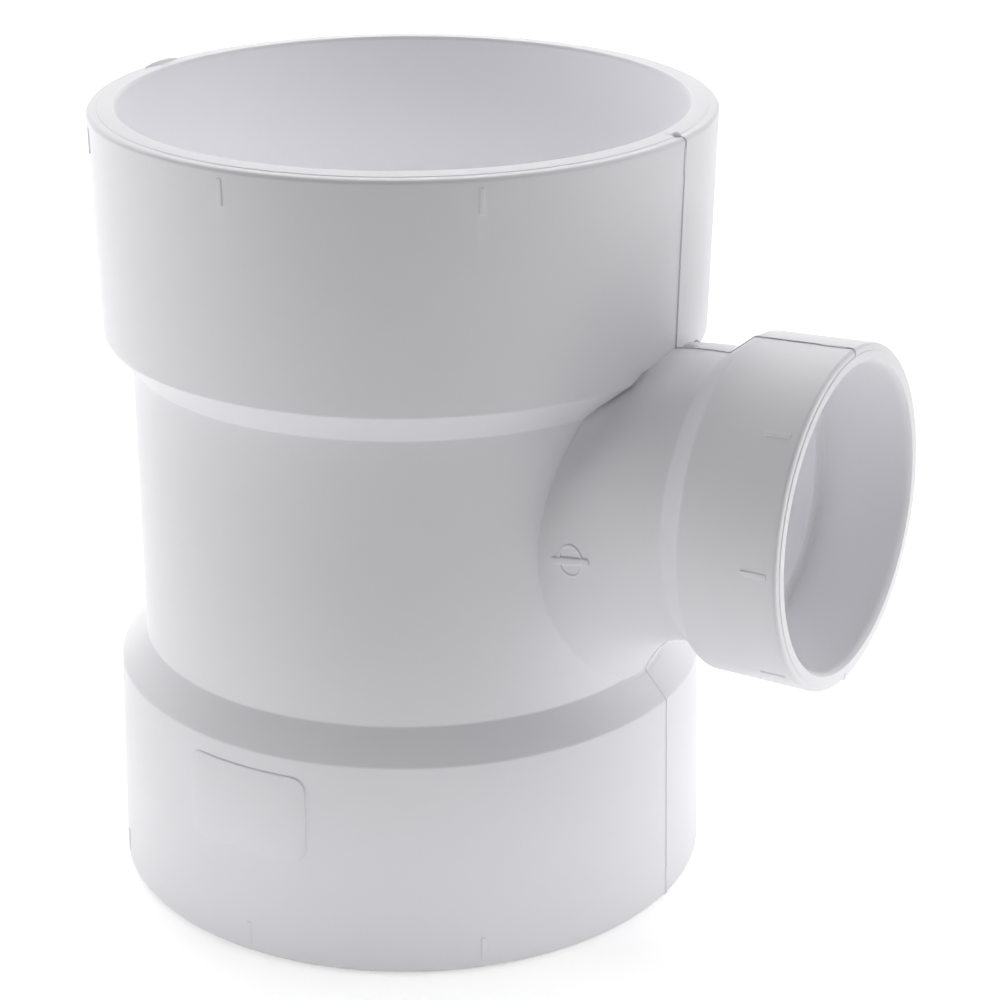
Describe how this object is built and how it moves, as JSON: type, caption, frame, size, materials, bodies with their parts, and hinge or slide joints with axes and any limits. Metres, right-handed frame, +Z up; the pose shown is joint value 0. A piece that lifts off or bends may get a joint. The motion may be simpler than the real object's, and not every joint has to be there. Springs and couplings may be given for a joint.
{
  "type": "reducing sanitary tee",
  "caption": "Drain pipe sanitary tee: straight upright run with a socket at each end and a smaller swept side inlet socket.",
  "frame": {"origin": "centre of the lower run socket's mouth, on the plane of the lower rim that the part stands on", "axes": "+Z up along the run towards the upper socket; +X towards the side inlet, which rises 1 in 48 from it; the parting plane is Y = 0"},
  "size_m": [0.1651, 0.127, 0.1653],
  "materials": {
    "white_plastic": "satin white moulded plastic"
  },
  "bodies": {
    "root": {"sanitary_tee": "white_plastic"}
  },
  "joints": []
}
